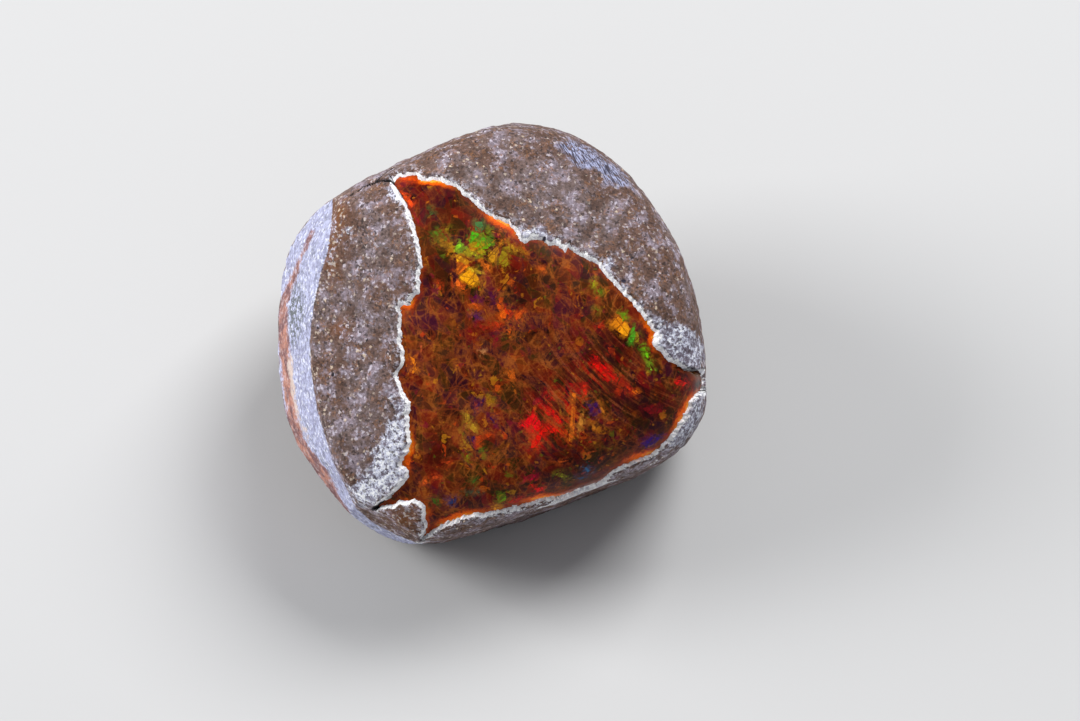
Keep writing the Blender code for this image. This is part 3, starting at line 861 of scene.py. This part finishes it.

# Soft spots where the opal is darker, curved in arcs, webbed, full of shards, red, or given a
# stronger painted glow at the rim.
ZONES = {
    "dark_zone": (
        (-4, 10.6, 3.4, 2.6), (10.3, -1.2, 2.6, 1.6), (7, -10.6, 3.4, 1.6), (17, -3.8, 2.4, 1.2),
        (12.5, -6.5, 2.6, 2), (-4.6, -9.8, 1.4, 1.6), (-4.6, 5.6, 1.6, 2.2), (2.3, 4.5, 1.6, 1.8),
    ),
    "arc_zone": ((8.5, -3.5, 4.6, 4.2), (12, -5.5, 3.4, 2.6), (5, -6, 3, 3)),
    "web_zone": ((-3.2, -4.2, 5, 4.8), (1, -1, 4, 4)),
    "shard_zone": (
        (-2.2, -8.2, 3.6, 3.4), (0.6, 3.2, 3.2, 2.2), (-1.4, 7, 3.4, 2), (8, -9, 3, 2.4),
    ),
    "red_zone": ((9.2, -3.4, 2.6, 1.6), (6.2, -6.6, 2.4, 2.4), (4, -8, 1.6, 1.6)),
    "painted_glow_zone": (
        (0.6, 9.3, 1.4, 1.2), (-5, 12.7, 2, 0.5), (12.6, 0, 1, 1.3),
        (15.2, -6.2, 1.6, 2), (-3.2, -15, 2.6, 1), (-7.1, -9.6, 0.6, 1.4),
        (-7.4, 2.6, 0.8, 0.6), (11.8, -9.9, 1.6, 0.8), (4, -13.5, 3, 0.5),
    ),
}
opal = new_piece("opal", points, quads.tolist() + walls.tolist() + closing.tolist(), {
    "flash_gap": flash_gap,
    "flash_colour": flash_colour,
    "window_gap": np.append(inside_window.ravel(), np.full(under[..., 0].size + 1, -1.0)),
    **{label: zone(points, spots) for label, spots in ZONES.items()},
})

finish, surface, place = new_finish("opal")
bent = nudged(place, 2.2, 1.1)
fine = clouds(place, 0.15, 3.0, 2.0, 0.7)
small = clouds(bent, 0.5, 13.0, 3.0, 0.65)
middling = clouds(bent, 1.4, 27.0, 4.0, 0.65)
broad = clouds(place, 5.0, 37.0, 3.0)


def fibres(place, bearing, spacing, length, shift):
    """Thin wandering lines along a bearing in degrees: one where noise stretched that way
    crosses its middle value."""
    lie = stretched(place, bearing, (length, spacing, length))
    return step(abs(clouds(lie, 1.0, shift, 1.0) - 0.5), 0.04, 0.01)


def cells(place, size, width, shift):
    """The thin walls between irregular cells of a size, in millimetres."""
    walls = voronoi(shifted(place, shift), size, feature="DISTANCE_TO_EDGE")
    return step(walls, width / size, width / size * 0.25)


def panes(bearing, length, width, shift):
    """Long flat panes along a bearing: one on the walls between them, and then two chances
    that each pane has of its own."""
    lie = stretched(shifted(bent, shift), bearing, (length, width, width))
    chances = split(voronoi(lie, 1.0, "Color"))
    walls = voronoi(lie, 1.0, feature="DISTANCE_TO_EDGE")
    return step(walls, 0.075, 0.02), chances, chances.other("Green")


def patchy(shift):
    """One in about half of the opal, in soft patches of some millimetres."""
    return step(clouds(place, 2.2, shift, 2.0), 0.44, 0.56)


body = blend(step(broad, 0.4, 0.6), (106, 45, 16), (96, 28, 13))
body = blend(step(middling, 0.5, 0.62) * 0.7, body, (138, 62, 14))
body = blend(step(middling, 0.5, 0.4) * 0.9, body, (44, 14, 9))
dark_zone = reading(place, "dark_zone")
body = blend(dark_zone * 0.8, body, (52, 15, 9))
threads = 0.0
for bearing, length, width, shift in PANES:
    walls, dim, hue = panes(bearing, length, width, shift)
    body = scaled(body, 0.68 + dim * 0.54)
    body = blend(step(hue, 0.84, 0.87) * 0.4, body, (60, 14, 38))
    body = blend(step(hue, 0.15, 0.12) * 0.5, body, (58, 44, 8))
    body = blend(step(hue, 0.5, 0.47) * step(hue, 0.36, 0.39) * 0.3, body, (140, 26, 10))
    threads = threads + walls * patchy(shift)
streaks = clouds(stretched(bent, -44, (2.6, 0.3, 1.5)), 1.0, 81.0, 2.0)
red = reading(place, "red_zone") * step(streaks, 0.46, 0.6)
body = blend(red * 0.85, body, (190, 10, 8))

web = reading(place, "web_zone")
threads = threads * (0.8 - web * 0.3)
threads = threads + cells(bent, 2.3, 0.14, 0.0) * web * 1.4 + cells(bent, 1.4, 0.09, 7.0) * web
threads = threads + fibres(bent, 100, 0.9, 9.0, 65.0) * patchy(65.0) * 0.8
threads = threads + fibres(place, 52, 0.9, 9.0, 75.0) * patchy(75.0) * 0.8
threads = threads * (1.0 - dark_zone * 0.7)
veil = step(fine, 0.3, 0.56)
thread_colour = blend(step(middling, 0.4, 0.62), (130, 56, 22), (170, 92, 34))
body = blend(threads.maths("MINIMUM", threads * (0.2 + veil * 0.26), 0.6), body, thread_colour)
body = scaled(body, 1.01 - dark_zone * 0.42)

# Growth arcs curve round a point off to the upper right.
ARC_MIDDLE = (21.0, 9.5, 0.0)
away = vectors("SUBTRACT", place, ARC_MIDDLE)
parts = away.node("ShaderNodeSeparateXYZ", {}, {0: away})
radius = parts.maths("SQRT", parts * parts + parts.other("Y") * parts.other("Y"))
swing = parts.maths("ARCTAN2", parts.other("Y"), parts)
arc_place = radius.node("ShaderNodeCombineXYZ", {}, {0: radius * 4.0, 1: swing * 5.0, 2: broad})
arc = clouds(arc_place, 1.0, 3.0, 2.0)
arc_zone = reading(place, "arc_zone")
body = blend(step(arc, 0.5, 0.4) * arc_zone * 0.75, body, (42, 10, 12))
body = blend(step(arc, 0.57, 0.64) * arc_zone * 0.6 * veil, body, (164, 84, 50))


def shards(size, share, shift):
    """Whether a place lies in a lit shard of a size, with two chances of that shard's own."""
    moved = shifted(shard_place, shift)
    chances = split(voronoi(moved, size, "Color"))
    lit = step(chances + reading(place, "shard_zone") * 0.2, 1.0 - share, 1.04 - share)
    return lit * (1.0 - cells(moved, size, 0.1, 0.0)), chances.other("Green"), chances.other("Blue")


# Small shards of colour are scattered thinly; the big flashes have a halo of their own colour.
shard_place = nudged(bent, 0.6, 0.4)
for size, share, strength, shift in ((0.7, 0.05, 0.6, 0.0), (0.34, 0.12, 0.5, 30.0)):
    lit, warm, kind = shards(size, share, shift)
    shard_colour = blend(warm, (206, 40, 14), (196, 134, 24))
    shard_colour = blend(step(kind, 0.62, 0.66), shard_colour, (124, 14, 40))
    shard_colour = blend(step(kind, 0.84, 0.88), shard_colour, (88, 104, 20))
    body = blend(lit * step(small, 0.4, 0.54) * strength, body, shard_colour)

flash_colour = reading(place, "flash_colour", "Color")
flash_at = reading(place, "flash_gap") + (small - 0.5) * 0.05 + (fine - 0.5) * 0.1
halo = step(flash_at, -0.5, 0.0) * step(small, 0.42, 0.58) * 0.4
splits = cells(place, 1.1, 0.05, 90.0) + fibres(place, 48, 0.9, 14.0, 95.0)
splits = splits + fibres(place, 128, 1.0, 14.0, 97.0)
flash = step(flash_at, -0.03, 0.05) * (1.0 - threads.maths("MINIMUM", threads, 1.0) * 0.3)
flash = flash * (1.0 - splits.maths("MINIMUM", splits, 1.0) * 0.65)
glint = scaled(flash_colour, 0.25 + small * 0.7 + fine * 0.75)
body = blend(flash.maths("MAXIMUM", flash, halo), body, glint)
# A painted glow of light along the window's edge: an orange band just inside the broken edge, as of
# light shining through the thin opal there, laid into the colour.
painted_glow_zone = reading(place, "painted_glow_zone")
rim_at = reading(place, "window_gap") + (small - 0.5) * 0.8 + (fine - 0.5) * 0.5
rim_at = rim_at - painted_glow_zone * 0.2
glow = step(rim_at, 0.5, 0.1) * (0.12 + painted_glow_zone * 0.88)
painted_glow_colour = blend(step(rim_at, 0.36, 0.06), (150, 34, 8), (230, 92, 6))
painted_glow_colour = blend(step(rim_at, 0.0, -0.2), painted_glow_colour, (250, 160, 52))
body = blend(glow, body, painted_glow_colour)
# The flashes and the orange rim band are also made to shine by emission: a painted glow, since the
# opal is no lamp.
connect(surface, {
    "Base Color": scaled(body, 0.6 + fine * 0.8),
    "Roughness": 0.24 + small * 0.12,
    "Specular IOR Level": 0.08,
    "IOR": 1.45,
    "Emission Color": blend(glow, scaled(glint, flash), scaled(painted_glow_colour, glow)),
    "Emission Strength": 0.12,
    "Normal": bump(small, 0.012),
})
opal.data.materials.append(finish)
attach(opal, "root")
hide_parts("rough_opal")

# A plain pale table, two softboxes and an even room, and a camera that looks down squarely on
# the window from far off.
TABLE_SIDE = 3.0
TABLE_COLOUR = (196, 196, 196)
table_mesh = bpy.data.meshes.new("table")
corners = np.array([(-1, -1, 0), (1, -1, 0), (1, 1, 0), (-1, 1, 0)]) * TABLE_SIDE
table_mesh.from_pydata(corners.tolist(), [], [(0, 1, 2, 3)])
table = bpy.data.objects.new("table", table_mesh)
bpy.context.scene.collection.objects.link(table)
finish, surface, _ = new_finish("table")
connect(surface, {"Base Color": paint(*TABLE_COLOUR), "Roughness": 0.9})
table_mesh.materials.append(finish)


# The lamps' distance is in millimetres and their side in metres.
LAMP_DISTANCE = 600.0
LAMP_SIDE = 0.3
LAMP_POWER = 3.5
ROOM_COLOUR = (0.92, 0.94, 1.0, 1.0)
ROOM_STRENGTH = 0.3


def softbox(name, bearing, off_axis):
    """A square lamp that faces the stone from a bearing round the window's own axis, in
    degrees, and an angle off that axis."""
    lamp = bpy.data.lights.new(name, "AREA")
    lamp.size, lamp.energy = LAMP_SIDE, LAMP_POWER
    made = bpy.data.objects.new(name, lamp)
    spot = aim(np.array(radians(bearing)), np.array(radians(off_axis))) * LAMP_DISTANCE
    made.location = lay_down(spot)
    made.rotation_euler = Vector(-(spot @ LEAN.T)).to_track_quat("-Z", "Y").to_euler()
    bpy.context.scene.collection.objects.link(made)


softbox("left softbox", 158, 68)
softbox("right softbox", 62, 64)
world = bpy.data.worlds.new("room")
bpy.context.scene.world = world
world.use_nodes = True
room_light = world.node_tree.nodes["Background"].inputs
room_light["Color"].default_value = ROOM_COLOUR
room_light["Strength"].default_value = ROOM_STRENGTH

FRAME_WIDTH = 90.0
FRAME_MIDDLE = (3.75, -2.125)
LENS = 1000.0
SENSOR = 36.0
CLIP_END = 20.0
lens = bpy.data.cameras.new("camera")
lens.lens, lens.sensor_width, lens.clip_end = LENS, SENSOR, CLIP_END
camera = bpy.data.objects.new("camera", lens)
camera.location = lay_down(np.array([*FRAME_MIDDLE, FRAME_WIDTH * LENS / SENSOR]))
camera.rotation_euler = (radians(FACE_LEAN), 0.0, 0.0)
bpy.context.scene.collection.objects.link(camera)
bpy.context.scene.camera = camera
bpy.context.scene.view_settings.view_transform = "Standard"
